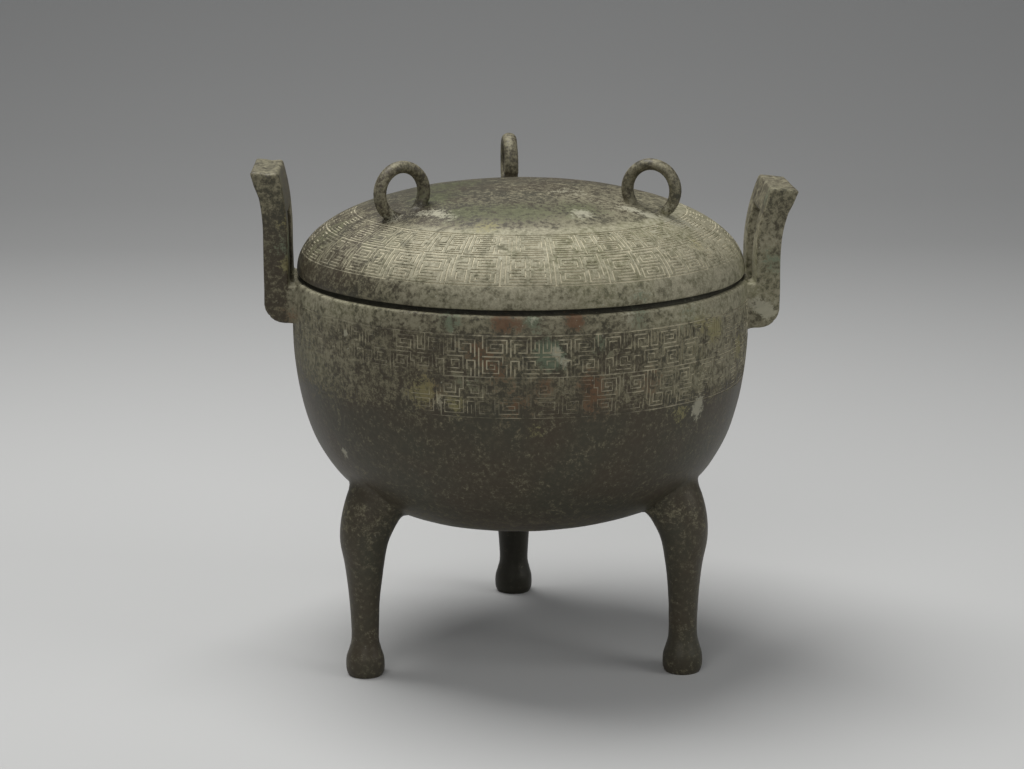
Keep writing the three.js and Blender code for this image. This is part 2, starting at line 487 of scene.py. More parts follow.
def as_object(name, bm, scale=1.0):
    """A bmesh as an object at the origin."""
    if scale != 1.0:
        bmesh.ops.scale(bm, verts=bm.verts, vec=(scale,) * 3)
    mesh = bpy.data.meshes.new(name)
    bm.to_mesh(mesh)
    bm.free()
    obj = bpy.data.objects.new(name, mesh)
    bpy.context.collection.objects.link(obj)
    return obj


bowl = as_object("bowl_draft", grown_bowl())
print("bowl:", len(bowl.data.polygons), "faces")

# %% [markdown]
# ## The legs
# A leg is one tapering column on a hoof. Its section is an oval that changes on the way up,
# read from a few stations through a smooth curve. Near the bowl it swells and leans inwards,
# and its top follows the middle of the bowl's wall, so it joins the bronze without coming
# through on the inside.

# %% Legs
LEG_CIRCLE = 96.2
LEG_ANGLES = {"rear": 90, "left": 210, "right": 330}
# Height, shift towards the axis, half size along the radius, half size across.
LEG_STATIONS = [
    (0, 0, 9.0, 9.4),
    (3, 0, 10.0, 10.5),
    (9, 0, 10.0, 10.5),
    (14, 0, 8.5, 9.2),
    (20, 0, 7.2, 8.0),
    (34, 0, 7.2, 8.6),
    (47, 0, 8.1, 10.0),
    (60, 0, 9.6, 12.0),
    (73, 0.3, 12.2, 13.9),
    (85, 4.2, 15.4, 15.0),
    (98, 8.6, 15.6, 15.2),
    (108, 12.6, 13.4, 13.0),
]
LEG_RINGS = 46
LEG_SIDES = 32


def smooth_curve(before, start, end, after, share):
    """A Catmull-Rom curve from start to end."""
    a = 2 * start
    b = end - before
    c = 2 * before - 5 * start + 4 * end - after
    d = 3 * start - before - 3 * end + after
    return 0.5 * (a + b * share + c * share**2 + d * share**3)


def leg_section(share):
    """Height, shift and half sizes at a share of the way through the stations."""
    last = len(LEG_STATIONS) - 1
    place = min(share, 0.99999) * last
    index = int(place)
    rows = [LEG_STATIONS[max(0, min(last, index + step))] for step in (-1, 0, 1, 2)]
    return [smooth_curve(*column, place - index) for column in zip(*rows)]


def wall_middle(radius):
    """The height of the middle of the bowl's wall over its bottom, at a radius."""
    share = min(1.0, radius / (BOWL["radius"] - WALL / 2)) ** BOWL["radial_power"]
    drop = (BOWL["depth"] - WALL / 2) * max(0.0, 1 - share) ** (1 / BOWL["height_power"])
    return BOWL["widest"] - drop


LEG_FLARE = 0.16
LEG_FLARE_HEIGHT = 11


def leg(name, angle):
    """A column of oval rings, cut off along the middle of the bowl's wall."""
    bm = bmesh.new()
    bmesh.ops.create_cone(
        bm, cap_ends=True, segments=LEG_SIDES, radius1=1, radius2=1, depth=1
    )
    uprights = [e for e in bm.edges if abs(e.verts[0].co.z - e.verts[1].co.z) > 0.5]
    bmesh.ops.subdivide_edges(bm, edges=uprights, cuts=LEG_RINGS - 1, use_grid_fill=True)
    caps = [f for f in bm.faces if len(f.verts) == LEG_SIDES]
    centres = bmesh.ops.poke(bm, faces=caps)["verts"]
    spokes = [e for v in centres for e in v.link_edges]
    bmesh.ops.subdivide_edges(bm, edges=spokes, cuts=4, use_grid_fill=True)
    for v in bm.verts:
        height, shift, along, across = leg_section(v.co.z + 0.5)
        x = LEG_CIRCLE - shift + v.co.x * along
        y = v.co.y * across
        top = wall_middle(math.hypot(x, y))
        # The joint is filled in with a hollow curve, as the wax or clay would be smoothed there.
        flare = 1 + LEG_FLARE * falloff(height, top - LEG_FLARE_HEIGHT, top) ** 2
        x = LEG_CIRCLE - shift + v.co.x * along * flare
        y = v.co.y * across * flare
        v.co = (x, y, min(height, wall_middle(math.hypot(x, y))))
    turn_about_axis(bm, angle)
    bmesh.ops.recalc_face_normals(bm, faces=bm.faces)
    return as_object(name, bm)


legs = [leg("leg_" + place, angle) for place, angle in LEG_ANGLES.items()]
print("legs:", [len(obj.data.polygons) for obj in legs], "faces")

# %% [markdown]
# ## The ears
# An ear is a thick plate with a long opening, bent outwards above the rim. It is built flat,
# where its opening and its edges are easy to shape, and bent afterwards by moving every point
# onto an arc. The two ears were bent by different amounts, and the left one's end is battered.

# %% Ears
EAR = {
    "width": 54.0,
    "thickness": 12.8,
    "inner": 120.7,
    "bottom_rise": 1.6,
    "corner": 9.0,
    "root_top": -1.5,
    "head": 8.0,
    "lip": 0.9,
    "head_rise": 4.8,
    "opening_width": 24.0,
    "opening_bottom": -8.0,
    "opening_top": 34.5,
    "edge": 1.3,
    "edge_angle": 50,
}
# Side, foot below the rim, length above it, where the bend starts and its radius inside.
EAR_BENDS = {
    "ear_right": (1, -25.4, 49.3, 10.0, 98.0),
    "ear_left": (-1, -21.0, 57.6, 24.0, 126.0),
}
EAR_CELL = 3.0
EAR_HEAD_CELL = 2.6
# The dent in the left ear's end: its place through the plate, its half width and its depth.
DENT = {"out": 5.5, "half": 2.6, "depth": 1.5}


def stations(stops, cell):
    """Places from the first stop to the last, evenly spaced between stops."""
    places = [stops[0]]
    for low, high in zip(stops, stops[1:]):
        count = max(1, round((high - low) / cell))
        places += [low + (high - low) * (i + 1) / count for i in range(count)]
    return places


def flat_ear(bottom, length):
    """The plate before bending: x out from the inner face, y across, z up from the rim."""
    half, opening = EAR["width"] / 2, EAR["opening_width"] / 2
    across = stations([-half, -opening, opening, half], EAR_CELL)
    up = stations(
        [bottom, EAR["opening_bottom"], EAR["root_top"], EAR["opening_top"]], EAR_CELL
    )
    up += stations([EAR["opening_top"], length - EAR["head"], length], EAR_HEAD_CELL)[1:]
    bm = bmesh.new()
    bmesh.ops.create_grid(bm, x_segments=len(across) - 1, y_segments=len(up) - 1, size=0.5)
    for v in bm.verts:
        column = round((v.co.x + 0.5) * (len(across) - 1))
        row = round((v.co.y + 0.5) * (len(up) - 1))
        v.co = (0, across[column], up[row])
    hole = []
    for face in bm.faces:
        middle = face.calc_center_median()
        inside = abs(middle.y) < opening
        if inside and EAR["opening_bottom"] < middle.z < EAR["opening_top"]:
            hole.append(face)
    bmesh.ops.delete(bm, geom=hole, context="FACES")
    plate = bmesh.ops.extrude_face_region(bm, geom=bm.faces[:], use_keep_orig=True)["geom"]
    outer = [v for v in plate if isinstance(v, bmesh.types.BMVert)]
    bmesh.ops.translate(bm, verts=outer, vec=(EAR["thickness"], 0, 0))
    through = [e for e in bm.edges if abs(e.verts[0].co.x - e.verts[1].co.x) > 1]
    bmesh.ops.subdivide_edges(bm, edges=through, cuts=4, use_grid_fill=True)
    bmesh.ops.recalc_face_normals(bm, faces=bm.faces)
    foot = []
    for face in bm.faces:
        middle = face.calc_center_median()
        if middle.x < 1e-4 and middle.z < EAR["root_top"]:
            foot.append(face)
    root = bmesh.ops.extrude_face_region(bm, geom=foot)["geom"]
    bmesh.ops.delete(bm, geom=foot, context="FACES_ONLY")
    for v in root:
        if isinstance(v, bmesh.types.BMVert):
            v.co.x = math.sqrt((BOWL["radius"] - WALL / 2) ** 2 - v.co.y**2) - EAR["inner"]
    bmesh.ops.recalc_face_normals(bm, faces=bm.faces)
    bm.normal_update()
    sharp = []
    for edge in bm.edges:
        if not edge.is_boundary and edge.calc_face_angle(0) > math.radians(EAR["edge_angle"]):
            sharp.append(edge)
    bmesh.ops.bevel(
        bm,
        geom=sharp,
        offset=EAR["edge"],
        segments=3,
        profile=0.5,
        material=-1,
        affect="EDGES",
    )
    return bm


def ear(name, side, bottom, length, start, radius):
    """Shapes the flat plate's corner and head, bends it outwards and stands it at its side."""
    bm = flat_ear(bottom, length)
    thickness = EAR["thickness"]
    for v in bm.verts:
        out, across, up = v.co
        share = min(1.0, max(0.0, out / thickness))
        # The lower outer corner is round.
        corner_out = thickness - EAR["corner"]
        corner_up = bottom + EAR["bottom_rise"] + EAR["corner"]
        if up < EAR["opening_bottom"]:
            up += EAR["bottom_rise"] * share * falloff(EAR["opening_bottom"] - up, 0, 15)
        if out > corner_out and up < corner_up:
            dx, dz = out - corner_out, corner_up - up
            shrink = max(dx, dz) / max(1e-6, math.hypot(dx, dz))
            out, up = corner_out + dx * shrink, corner_up - dz * shrink
        # The head stands a little proud outside, and its outer edge reaches higher.
        head = falloff(up, length - EAR["head"] - 0.9, length - EAR["head"] + 1.1)
        out += EAR["lip"] * head * share
        up += EAR["head_rise"] * share * falloff(up, length - 9, length)
        # The left ear's end is dented.
        if side < 0:
            dent = math.exp(-(((out - DENT["out"]) / DENT["half"]) ** 2))
            dent *= 0.6 + 0.4 * math.sin(across / 4)
            up -= DENT["depth"] * dent * falloff(up, length - 5, length)
        turn = max(0.0, up - start) / radius
        x = EAR["inner"] + radius - (radius - out) * math.cos(turn)
        z = RIM + min(up, start) + (radius - out) * math.sin(turn)
        v.co = (x, across, z)
    if side < 0:
        turn_about_axis(bm, 180)
    bmesh.ops.recalc_face_normals(bm, faces=bm.faces)
    return as_object(name, bm)


ears = [ear(name, *bend) for name, bend in EAR_BENDS.items()]
print("ears:", [len(obj.data.polygons) for obj in ears], "faces")

# %% [markdown]
# ## One casting
# Bowl, legs and ears were poured together, so they are fused into one closed skin by boolean
# unions. The creases where they meet are then eased with a few rounds of smoothing, and the
# whole skin gets the slight unevenness of an old casting.


# %% Fusing
def fused(body, parts):
    """Joins closed meshes into one skin and returns it as a bmesh, with the parts marked."""
    for index, obj in enumerate([body, *parts]):
        attribute = obj.data.attributes.new("source", "INT", "FACE")
        attribute.data.foreach_set("value", [index] * len(obj.data.polygons))
    for part in parts:
        union = body.modifiers.new("union", "BOOLEAN")
        union.operation = "UNION"
        union.solver = "MANIFOLD"
        union.object = part
    bpy.context.view_layer.update()
    evaluated = body.evaluated_get(bpy.context.evaluated_depsgraph_get())
    bm = bmesh.new()
    bm.from_mesh(evaluated.to_mesh())
    evaluated.to_mesh_clear()
    for obj in [body, *parts]:
        mesh = obj.data
        bpy.data.objects.remove(obj)
        bpy.data.meshes.remove(mesh)
    return bm


def ease_joints(bm, reach, rounds):
    """Smooths the skin within reach of the lines where two sources meet."""
    source = bm.faces.layers.int.get("source")
    seam = [v for v in bm.verts if len({f[source] for f in v.link_faces}) > 1]
    tree = kdtree.KDTree(len(seam))
    for index, v in enumerate(seam):
        tree.insert(v.co, index)
    tree.balance()
    near = [v for v in bm.verts if tree.find(v.co)[2] < reach]
    for _ in range(rounds):
        bmesh.ops.smooth_vert(
            bm, verts=near, factor=0.5, use_axis_x=True, use_axis_y=True, use_axis_z=True
        )
    print("joints eased:", len(seam), "seam corners,", len(near), "moved")


def cast_skin(bm, strength):
    """The low unevenness of a sand or clay casting, broad and fine."""
    bm.normal_update()
    moves = []
    for v in bm.verts:
        height = strength * (0.5 * rough(v.co, 60, 1.7) + 0.22 * rough(v.co, 14, 4.1))
        moves.append(v.normal * height)
    for v, move in zip(bm.verts, moves):
        v.co += move


# How far from a joint the skin is smoothed, in mm, and in how many rounds.
VESSEL_JOINTS = (4.5, 6)
LID_JOINTS = (2.5, 4)
VESSEL_UNEVENNESS = 1.0
LID_UNEVENNESS = 0.8

vessel_skin = fused(bowl, legs + ears)
ease_joints(vessel_skin, *VESSEL_JOINTS)
cast_skin(vessel_skin, VESSEL_UNEVENNESS)
print("vessel:", len(vessel_skin.verts), "corners", len(vessel_skin.faces), "faces")
print("open edges:", sum(1 for e in vessel_skin.edges if not e.is_manifold))

# %% [markdown]
# ## The lid
# The lid is a low dome with its own vertical edge, a hair narrower than the rim. It is hollow
# like the bowl: a skirt inside the edge slips over the bowl's lip. Its two bands of ornament lie
# on the slope, and the top is plain.

# %% Lid sizes
LID = {
    "radius": 117.4,
    "edge": 206.2,
    "foot": 207.6,
    "height": 43.4,
    "radial_power": 2.2,
    "height_power": 2.1,
    "skirt_radius": 114.7,
    "skirt_top": 212.3,
    "inner_radius": 112.3,
    "inner_height": 35.3,
}
LID_TURN = 2.6
LID_COLUMNS = 288
LID_BORDERS = (114.6, 101.7, 87.0)
LID_TILE_WIDTH = 12
LID_TILE_HEIGHT = 10
# Half a line's width as a share of the pitch, round and up.
LID_LINE_SHARE = (0.19, 0.25)


def lid_point(turn):
    """A ring's radius and height on the lid's outside."""
    radius, height = superellipse(
        LID["radius"], LID["height"], LID["radial_power"], LID["height_power"], turn
    )
    return radius, LID["foot"] + height


def lid_inner_point(turn):
    """A ring's radius and height on the lid's underside."""
    radius, height = superellipse(
        LID["inner_radius"], LID["inner_height"], LID["radial_power"], LID["height_power"], turn
    )
    return radius, LID["skirt_top"] + height


def lid_turn(radius):
    """The dome parameter at a radius on the outside."""
    return math.asin((radius / LID["radius"]) ** (LID["radial_power"] / 2))


def lid_line_turn(line):
    """The dome parameter of a line of the net, counted inwards from the outer border."""
    outer, middle, inner = [lid_turn(radius) for radius in LID_BORDERS]
    if line <= LID_TILE_HEIGHT:
        return outer + (middle - outer) * line / LID_TILE_HEIGHT
    return middle + (inner - middle) * (line - LID_TILE_HEIGHT) / LID_TILE_HEIGHT


def lid_tiles():
    """Two motifs of the lid's bands, of flat spirals, pairs of uprights and long level lines."""
    spirals = [
        square_spiral(0, 6, 5, 9),
        square_spiral(0, 1, 5, 4, opens="right", rises=False),
        [(0, 5), (5, 5)],
        [(6, 0), (6, 8)],
        [(7, 1), (7, 10)],
        [(8, 9), (11, 9), (11, 6), (9, 6), (9, 8), (10, 8)],
        [(8, 8), (8, 5), (10, 5)],
        [(11, 5), (11, 3), (8, 3), (8, 4), (10, 4)],
        [(8, 2), (11, 2)],
        [(8, 1), (11, 1)],
    ]
    levels = [
        [(0, 10), (0, 2)],
        [(1, 9), (7, 9)],
        [(1, 8), (6, 8), (6, 6)],
        [(1, 7), (5, 7), (5, 5), (2, 5)],
        [(1, 6), (1, 3), (4, 3)],
        [(2, 4), (6, 4), (6, 1)],
        [(1, 2), (5, 2)],
        [(1, 1), (5, 1)],
        [(7, 8), (7, 0)],
        [(8, 10), (8, 3)],
        [(9, 9), (11, 9), (11, 7), (9, 7)],
        [(9, 6), (11, 6)],
        [(9, 5), (11, 5), (11, 1), (8, 1)],
        [(9, 4), (9, 2), (10, 2)],
    ]
    return [spirals, levels]


def lid_band():
    """The two rows of the lid's ornament between three border lines."""
    repeats = LID_COLUMNS // LID_TILE_WIDTH
    cells = tiled_cells(lid_tiles(), LID_TILE_WIDTH, LID_TILE_HEIGHT, repeats, 2, 5)
    cells = {(x % (2 * LID_COLUMNS), y) for x, y in cells}
    for border in (0, LID_TILE_HEIGHT, 2 * LID_TILE_HEIGHT):
        cells |= {(x, 2 * border) for x in range(2 * LID_COLUMNS)}

    def place(angle, line):
        radius, height = lid_point(lid_line_turn(line))
        return radius * math.cos(angle), radius * math.sin(angle), height

    return wrapped_band(LID_COLUMNS, 2 * LID_TILE_HEIGHT + 1, cells, place, LID_LINE_SHARE)


def lid_wear(co):
    """How fresh the lid's lines are: clear on most of it, fainter at the left and the back."""
    clear = 1 - falloff(away(co, 35), 55, 105)
    patches = 0.28 * rough(co, 19, 2.3) + 0.2 * rough(co, 5, 9.1)
    return min(1.0, max(0.1, 0.5 + 0.45 * clear + patches))


# %% Lid
def grown_lid():
    """The closed skin of the hollow lid, grown from its bands up to the top, and down, round the
    edge and over the underside."""
    bm = lid_band()
    sink_lines(bm, LID_LINE_DEPTH, lid_wear)
    outward, inward = boundary_ring(bm, False), boundary_ring(bm, True)
    start = lid_line_turn(2 * LID_TILE_HEIGHT + 0.5)
    steps = 22
    halvings = {3, 9, 14, 18}
    edges = inward
    for step in range(1, steps):
        radius, height = lid_point(start * (1 - step / steps))
        edges = next_ring(bm, edges, radius, height, step in halvings)
    close_pole(bm, edges, LID["foot"] + LID["height"])
    # Down to the widest ring, round its edge, up the skirt and back over the underside.
    edges = outward
    start = lid_line_turn(-0.5)
    for step in range(1, 7):
        edges = next_ring(bm, edges, *lid_point(start + (math.pi / 2 - start) * step / 6))
    rounding = LID["foot"] - LID["edge"]
    for turn in (30, 60, 90):
        tilt = math.radians(turn)
        radius = LID["radius"] - rounding * (1 - math.cos(tilt))
        height = LID["foot"] - rounding * math.sin(tilt)
        edges = next_ring(bm, edges, radius, height, turn == 60)
    skirt = [(LID["skirt_radius"] + 0.5, LID["edge"]), (LID["skirt_radius"], LID["edge"] + 0.5)]
    skirt += [(LID["skirt_radius"], LID["skirt_top"])]
    for radius, height in skirt:
        edges = next_ring(bm, edges, radius, height)
    inner_steps = 20
    for step in range(inner_steps):
        radius, height = lid_inner_point(math.pi / 2 * (1 - step / inner_steps))
        edges = next_ring(bm, edges, radius, height, step in (1, 12, 17))
    close_pole(bm, edges, LID["skirt_top"] + LID["inner_height"])
    bmesh.ops.recalc_face_normals(bm, faces=bm.faces)
    return bm


lid = as_object("lid_draft", grown_lid())
print("lid:", len(lid.data.polygons), "faces")

# %% [markdown]
# ## The rings
# Three rings stand on the lid, each in a plane through the axis, so the lid can be turned over
# and stood on them as a dish. A ring is one section swept round a circle. Fine ridges across it
# recall twisted rope.

# %% Rings
LOOP = {"circle": 73.6, "middle": 13.15, "height": 252.8, "along": 3.05, "across": 3.9}
LOOP_STEPS = 132
LOOP_RIDGES = 44
LOOP_RIDGE_HEIGHT = 0.013
LOOP_UNEVENNESS = 0.03


def lid_wall_middle(radius):
    """The height of the middle of the lid's wall at a radius."""
    outer = lid_point(lid_turn(radius))[1]
    share = (radius / LID["inner_radius"]) ** (LID["radial_power"] / 2)
    return (outer + lid_inner_point(math.asin(min(1.0, share)))[1]) / 2


def loop_ring(name, angle):
    """A ring standing on the lid, with its foot cut off inside the lid's wall."""
    bm = bmesh.new()
    section = bmesh.ops.create_circle(bm, segments=18, radius=1)["verts"]
    for v in section:
        v.co = (LOOP["middle"] + v.co.x * LOOP["along"], v.co.y * LOOP["across"], 0)
    bmesh.ops.spin(
        bm,
        geom=bm.edges[:],
        cent=(0, 0, 0),
        axis=(0, 1, 0),
        angle=math.tau,
        steps=LOOP_STEPS,
        use_merge=True,
    )
    for v in bm.verts:
        turn = math.atan2(v.co.z, v.co.x)
        centre = Vector((math.cos(turn), 0, math.sin(turn))) * LOOP["middle"]
        ridge = LOOP_RIDGE_HEIGHT * math.cos(LOOP_RIDGES * turn + 0.6 * v.co.y)
        swell = 1 + ridge + LOOP_UNEVENNESS * rough(v.co, 9, angle)
        v.co = centre + (v.co - centre) * swell
        x, z = v.co.x + LOOP["circle"], v.co.z + LOOP["height"]
        v.co = (x, v.co.y, max(z, lid_wall_middle(math.hypot(x, v.co.y))))
    turn_about_axis(bm, angle + LID_TURN)
    bmesh.ops.recalc_face_normals(bm, faces=bm.faces)
    return as_object(name, bm)


loops = [loop_ring("loop_" + place, angle) for place, angle in LEG_ANGLES.items()]
lid_skin = fused(lid, loops)
ease_joints(lid_skin, *LID_JOINTS)
cast_skin(lid_skin, LID_UNEVENNESS)
print("lid:", len(lid_skin.verts), "corners", len(lid_skin.faces), "faces")
print("open edges:", sum(1 for e in lid_skin.edges if not e.is_manifold))

# %% [markdown]
# ## Where the patina lies
# Old bronze is brown where it was handled and green or grey where it lay in the ground. On this
# vessel the lid carries most of the grey crust, the bowl's band some, and its lower half hardly
# any. That share is kept on the mesh as a value called weather. The larger stains are listed
# here by where they sit. Each is kept as a soft round patch, whose edge the material breaks up.
# Painted shade is kept on the same skins too, as a dark layer in the seam under the lid and on the
# rear leg in the bowl's shadow.

# %% Stains
# The dark kind is one stain on the lid and also the painted shade laid further down.
STAIN_AND_SHADE_KINDS = ("red", "green", "moss", "pale", "ochre", "dark")
# kind, degrees from the front, height, size in mm, strength
BOWL_STAINS = [
    ("red", -6.5, 200.5, 8, 0.9),
    ("red", -1.5, 200.0, 5, 0.5),
    ("red", 10.3, 201.4, 7, 1.0),
    ("red", 13.9, 171.9, 8, 0.5),
    ("red", 3.2, 170.4, 7, 0.5),
    ("red", -24.2, 165.0, 13, 0.5),
    ("red", -8.0, 178.0, 10, 0.5),
    ("red", 30.0, 168.0, 10, 0.5),
    ("red", -13.0, 187.0, 10, 0.5),
    ("red", 15.0, 160.0, 13, 0.55),
    ("red", -3.0, 160.0, 13, 0.5),
    ("green", 0.4, 202.0, 6, 0.8),
    ("green", -19.1, 200.5, 8, 0.7),
    ("green", 16.3, 189.0, 8, 0.6),
    ("green", 3.9, 187.7, 9, 1.0),
    ("green", 5.8, 181.6, 7, 0.8),
    ("green", 27.0, 201.0, 9, 0.6),
    ("green", 42.0, 199.0, 10, 0.5),
    ("green", -14.0, 172.0, 10, 0.4),
    ("pale", 5.8, 186.6, 3.4, 1.3),
    ("pale", 7.6, 181.6, 3.0, 1.2),
    ("pale", -49.1, 188.5, 2.2, 1.4),
    ("pale", 46.5, 148.1, 6, 0.9),
    ("pale", 47.1, 153.2, 5, 0.6),
    ("pale", -56.5, 122.6, 3, 1.3),
    ("ochre", 51.9, 187.7, 9, 0.9),
    ("ochre", 65.8, 174.6, 10, 0.8),
    ("ochre", 45.7, 193.7, 8, 0.7),
    ("ochre", 40.1, 147.8, 8, 0.7),
    ("ochre", 0.8, 146.4, 6, 0.6),
    ("ochre", -18.0, 159.3, 6, 0.8),
    ("ochre", -26.0, 165.0, 10, 0.8),
    ("pale", -22.0, 160.0, 7, 0.45),
    ("pale", 0.5, 202.5, 4, 0.6),
    ("pale", 24.0, 202.5, 6, 0.5),
    ("pale", 46.0, 201.0, 8, 0.45),
]
# kind, point, size in mm, strength
EAR_STAINS = [
    ("pale", (127, -27, 188), 6, 1.0),
    ("pale", (121, -26, 192), 5, 0.9),
    ("green", (130, -27, 214), 10, 0.6),
    ("green", (-121, -20, 222), 12, 0.8),
    ("ochre", (-121, -26, 214), 7, 0.8),
    ("ochre", (-122, -27, 236), 7, 0.6),
    ("red", (-121, -27, 186), 8, 0.5),
    ("green", (124, -20, 246), 8, 0.6),
    ("pale", (146, -15, 252), 6, 0.6),
]
# kind, degrees from the front, distance from the axis, size in mm, strength
LID_STAINS = [
    ("pale", -55.0, 82.0, 6, 0.7),
    ("pale", -48.0, 70.0, 7, 0.75),
    ("pale", -40.0, 68.0, 7, 0.65),
    ("pale", -32.0, 72.0, 8, 0.5),
    ("pale", 52.0, 66.0, 7, 0.7),
    ("pale", 54.0, 77.0, 8, 0.75),
    ("pale", 60.0, 87.0, 9, 0.75),
    ("pale", 66.0, 92.0, 9, 0.6),
    ("pale", 46.2, 89.7, 9, 0.5),
    ("pale", 26.0, 66.0, 8, 0.9),
    ("pale", 47.0, 30.0, 16, 0.4),
    ("pale", 20.0, 92.0, 14, 0.3),
    ("moss", -2.8, 60.0, 24, 0.8),
    ("moss", 30.0, 60.0, 18, 0.7),
    ("moss", -30.0, 66.0, 16, 0.7),
    ("moss", -62.0, 52.0, 20, 0.7),
    ("moss", -110.0, 40.0, 26, 0.7),
    ("green", 27.3, 117.3, 8, 0.5),
    ("red", 16.9, 116.3, 9, 0.35),
    ("ochre", -14.0, 80.0, 10, 0.6),
    ("ochre", 55.0, 104.0, 10, 0.5),
    ("dark", -60.9, 112.6, 14, 0.45),
    ("moss", -75.0, 104.0, 22, 0.6),
    ("moss", -50.0, 100.0, 20, 0.4),
]


def stain_places(stains, point_at):
    """The same stains with their places as points."""
    return [
        (kind, point_at(angle, place), size, strength)
        for kind, angle, place, size, strength in stains
    ]


def round_point(angle, radius, height):
    """A point at an angle from the front, a distance from the axis and a height."""
    turn = math.radians(angle)
    return Vector((radius * math.sin(turn), -radius * math.cos(turn), height))


def bowl_stain_point(angle, height):
    """A point on the bowl's side."""
    return round_point(angle, bowl_side(height), height)


def lid_stain_point(angle, radius):
    """A point on the lid's outside."""
    return round_point(angle, *lid_point(lid_turn(min(radius, LID["radius"]))))


def ear_share(co):
    """1 on an ear, 0 elsewhere."""
    return falloff(abs(co.x), 121.2, 122.5) if co.z > 175 else 0.0


def bowl_weather(co):
    """How much crust lies on bowl, legs and ears, from 0 to 1."""
    if ear_share(co) > 0 and co.x > 0:
        return 0.60 - 0.12 * falloff(co.z, 225, 245)
    if ear_share(co) > 0:
        return 0.26 + 0.2 * falloff(co.z, 232, 248)
    if co.z < 95 or co.z < 125 and math.hypot(co.x, co.y) < 40:
        return 0.06 + 0.14 * falloff(co.z, 70, 86)
    band = falloff(co.z, BAND_BOTTOM - 8, BAND_BOTTOM + 10)
    right = 1 - falloff(away(co, 77), 22, 62)
    left = 1 - falloff(away(co, -100), 40, 75)
    strip = falloff(co.z, BAND_TOP - 2, BAND_TOP + 3)
    return 0.06 + band * (0.31 + 0.22 * right + 0.16 * left + (0.16 + 0.14 * right) * strip)


# Degrees from the front to the side of the lid with the most crust.
LID_CRUST_SIDE = 42


def lid_weather(co):
    """How much crust lies on the lid: most on its front right, less on top, edge and rings."""
    radius = math.hypot(co.x, co.y)
    if co.z > lid_point(lid_turn(min(radius, LID["radius"])))[1] + 3:
        return 0.46
    turn = math.radians(LID_CRUST_SIDE)
    toward = (co.x * math.sin(turn) - co.y * math.cos(turn)) / LID["radius"]
    side = falloff(toward, -0.25, 0.6)
    edge = falloff(radius, 114.0, 115.5) * (0.4 + 0.6 * falloff(away(co, 75), 20, 50))
    top = 1 - falloff(radius, 78, 87)
    return (0.40 + 0.68 * side) * (1 - 0.34 * edge) * (1 - 0.52 * top)


def lay_patina(bm, weather, stains):
    """Keeps the weather value and the stains on the corners of a skin."""
    layers = {name: bm.verts.layers.float.new(name) for name in ("weather", *STAIN_AND_SHADE_KINDS)}
    for v in bm.verts:
        v[layers["weather"]] = weather(v.co)
        for kind, centre, size, strength in stains:
            distance = (v.co - centre).length
            if distance < 2.2 * size:
                v[layers[kind]] += strength * math.exp(-((distance / size) ** 2) * 1.3)


ear_stains = [(kind, Vector(point), size, strength) for kind, point, size, strength in EAR_STAINS]
bowl_stains = stain_places(BOWL_STAINS, bowl_stain_point)
lay_patina(vessel_skin, bowl_weather, bowl_stains + ear_stains)
lay_patina(lid_skin, lid_weather, stain_places(LID_STAINS, lid_stain_point))


# How strongly the painted shade is laid into the dark layer.
PAINTED_SHADE_STRENGTH = 1.3
REAR_LEG_TOP = 97
REAR_LEG_FRONT = 60


def paint_shade(bm, in_shade):
    """Paints full shade into the dark layer on every corner that the test picks out."""
    dark = bm.verts.layers.float["dark"]
    for v in bm.verts:
        if in_shade(v.co, math.hypot(v.co.x, v.co.y)):
            v[dark] = PAINTED_SHADE_STRENGTH


# Painted shade: on the rear leg and the bronze round its top, which stand in the bowl's shadow,
# and on the bowl's lip and the lid's lower edge, in the shaded seam where the lid sits.
paint_shade(vessel_skin, lambda co, radius: co.z < REAR_LEG_TOP and co.y > REAR_LEG_FRONT)
paint_shade(vessel_skin, lambda co, radius: co.z > RIM - 0.8 and radius < LID["radius"])
paint_shade(lid_skin, lambda co, radius: co.z < LID["foot"] - 0.9)
print("stains:", len(BOWL_STAINS), "on the bowl,", len(LID_STAINS), "on the lid")
